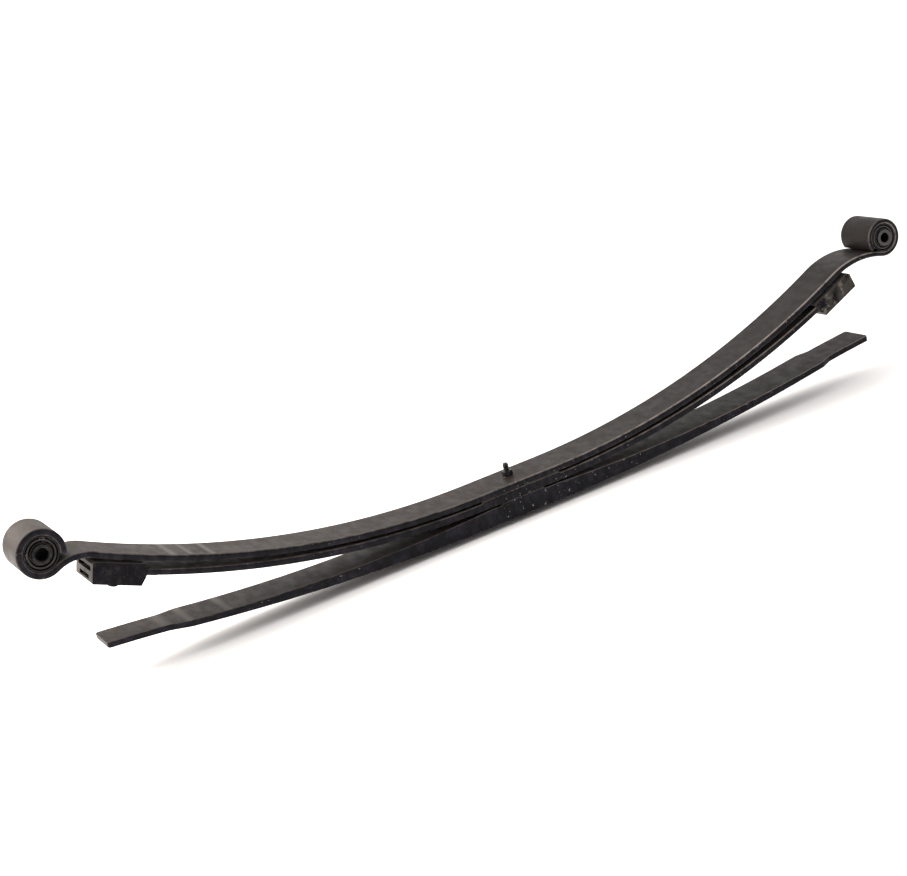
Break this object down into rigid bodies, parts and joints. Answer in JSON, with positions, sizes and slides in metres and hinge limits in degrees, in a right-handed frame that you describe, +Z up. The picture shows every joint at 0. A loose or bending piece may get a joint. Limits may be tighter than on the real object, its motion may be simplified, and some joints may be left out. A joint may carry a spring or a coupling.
{
  "type": "leaf spring",
  "caption": "Truck leaf spring: arched main leaf with rolled eyes and rubber bushes, second leaf with moulded tip pads, and a thick overload leaf, held by a centre bolt.",
  "frame": {"origin": "on the centre bolt's axis, in the plane of the axle seat under the overload leaf", "axes": "X along the spring with the front eye at -X and the rear eye at +X, Y across the spring, Z up"},
  "size_m": [1.4955, 0.081, 0.2555],
  "materials": {
    "leaf_paint": "satin black paint over shot-peened spring steel, small pits and bright chips along the edges",
    "sleeve_paint": "black painted pressed steel sleeve",
    "fastener": "black phosphate steel with a light oil film",
    "bush_rubber": "moulded black rubber, satin",
    "inner_sleeve_steel": "dark phosphate steel tube with worn end faces",
    "pad_plastic": "moulded black plastic, slightly mottled",
    "clip_steel": "dark spring steel"
  },
  "bodies": {
    "leaf_pack": {"main_leaf": "leaf_paint", "second_leaf": "leaf_paint", "overload_leaf": "leaf_paint", "centre_bolt": "fastener", "centre_bolt_nut": "fastener"},
    "front_end": {"front_bush_outer_sleeve": "sleeve_paint", "front_bush_rubber": "bush_rubber", "front_tip_pad": "pad_plastic", "front_pad_plug": "pad_plastic", "front_pad_clip": "clip_steel"},
    "front_pivot": {"front_bush_inner_sleeve": "inner_sleeve_steel"},
    "rear_end": {"rear_bush_outer_sleeve": "sleeve_paint", "rear_bush_rubber": "bush_rubber", "rear_tip_pad": "pad_plastic", "rear_pad_plug": "pad_plastic", "rear_pad_clip": "clip_steel"},
    "rear_pivot": {"rear_bush_inner_sleeve": "inner_sleeve_steel"}
  },
  "joints": [
    {"name": "front_flex", "type": "hinge", "parent": "leaf_pack", "child": "front_end", "pos_m": [-0.2, 0, 0.05], "axis": [0, -1, 0], "range_deg": [-1.5, 8], "stiffness_Nm_per_rad": 6000, "deforming": ["main_leaf", "second_leaf"]},
    {"name": "rear_flex", "type": "hinge", "parent": "leaf_pack", "child": "rear_end", "pos_m": [0.2, 0, 0.05], "axis": [0, 1, 0], "range_deg": [-1.5, 8], "stiffness_Nm_per_rad": 6000, "deforming": ["main_leaf", "second_leaf"]},
    {"name": "front_bush_twist", "type": "hinge", "parent": "front_end", "child": "front_pivot", "pos_m": [-0.709, 0, 0.211], "axis": [0, 1, 0], "range_deg": [-20, 20], "stiffness_Nm_per_rad": 40},
    {"name": "rear_bush_twist", "type": "hinge", "parent": "rear_end", "child": "rear_pivot", "pos_m": [0.721, 0, 0.202], "axis": [0, 1, 0], "range_deg": [-25, 25], "stiffness_Nm_per_rad": 30}
  ]
}
